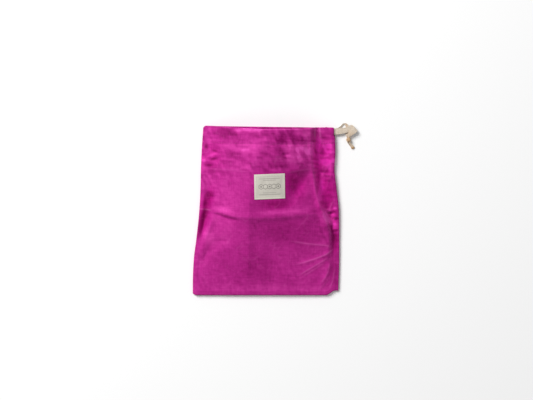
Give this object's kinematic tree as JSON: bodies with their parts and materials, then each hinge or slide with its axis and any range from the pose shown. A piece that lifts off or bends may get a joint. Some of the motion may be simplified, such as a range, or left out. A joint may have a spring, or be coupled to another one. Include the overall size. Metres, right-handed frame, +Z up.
{
  "type": "drawstring bread bag",
  "caption": "Waxed cotton drawstring bag for bread, lying on its back with its mouth open, a label sewn on its front and a flat cotton tape tied in a knot.",
  "frame": {"origin": "on the surface that the bag lies on, under the middle of the bag without its free drawstring", "axes": "+X across the bag towards the side where the drawstring comes out, +Y out of the mouth, +Z up from the back panel through the front panel"},
  "size_m": [0.3397, 0.3537, 0.0622],
  "materials": {
    "waxed_cotton": "plain weave, coated with beeswax",
    "label_cotton": "woven, matt",
    "tape_cotton": "herringbone tape, matt"
  },
  "bodies": {
    "root": {"front_panel": "waxed_cotton", "back_panel": "waxed_cotton", "label": "label_cotton", "casing_tape": "tape_cotton", "front_strand": "tape_cotton", "back_strand": "tape_cotton", "knot": "tape_cotton", "front_tail": "tape_cotton", "back_tail": "tape_cotton"}
  },
  "joints": []
}
